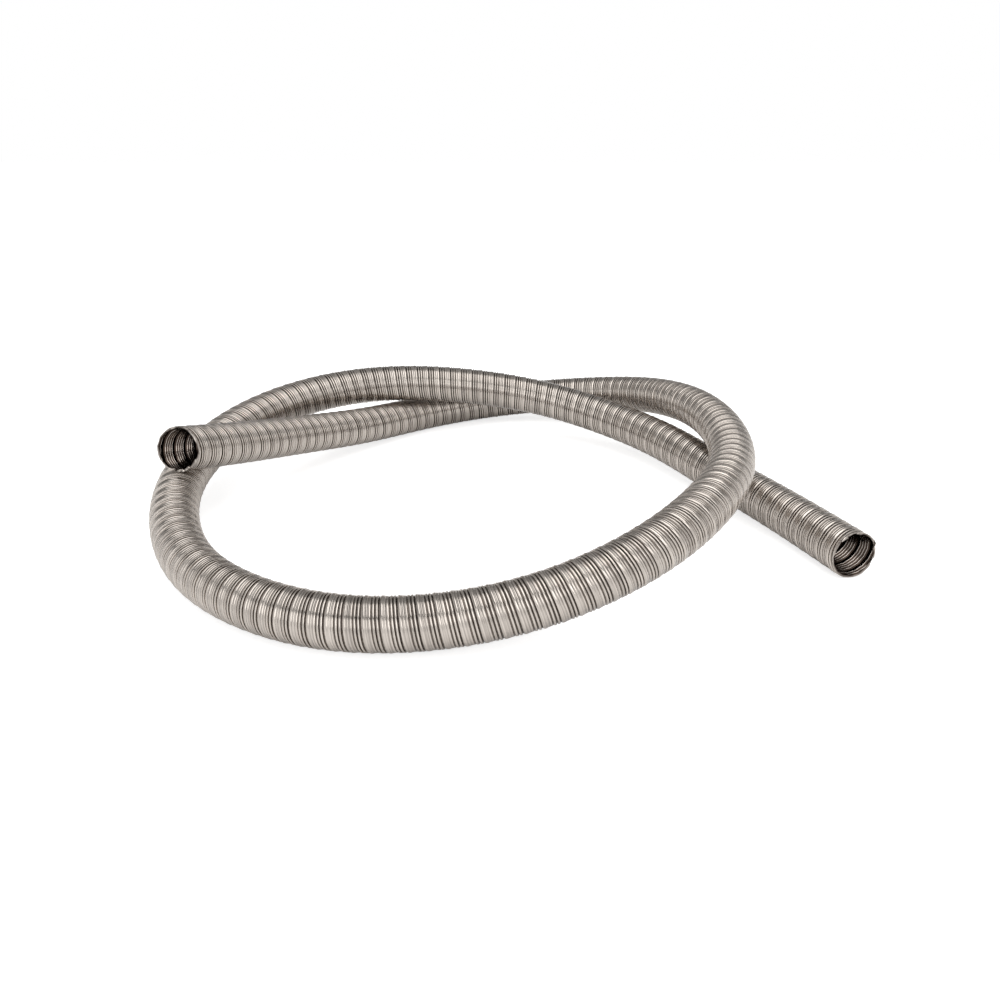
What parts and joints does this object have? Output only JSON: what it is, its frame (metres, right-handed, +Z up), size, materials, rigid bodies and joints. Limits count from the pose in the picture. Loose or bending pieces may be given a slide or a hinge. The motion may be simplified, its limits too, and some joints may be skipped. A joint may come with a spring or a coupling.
{
  "type": "flexible exhaust pipe",
  "caption": "Open-ended stainless exhaust pipe wound from corrugated strip, lying in a loose loop that crosses itself.",
  "frame": {"origin": "on the floor that the pipe lies on, under the middle of its bounding box", "axes": "+X along the pipe's longest extent, from the raised end towards the low end; +Y away from the side where both ends open; +Z up"},
  "size_m": [0.4282, 0.3664, 0.0659],
  "materials": {
    "stainless_strip": "warm grey stainless strip with fine lines along the winding, bright on the ridges and brownish in the grooves; dark inside the bore"
  },
  "bodies": {
    "root": {"exhaust_pipe": "stainless_strip"}
  },
  "joints": []
}
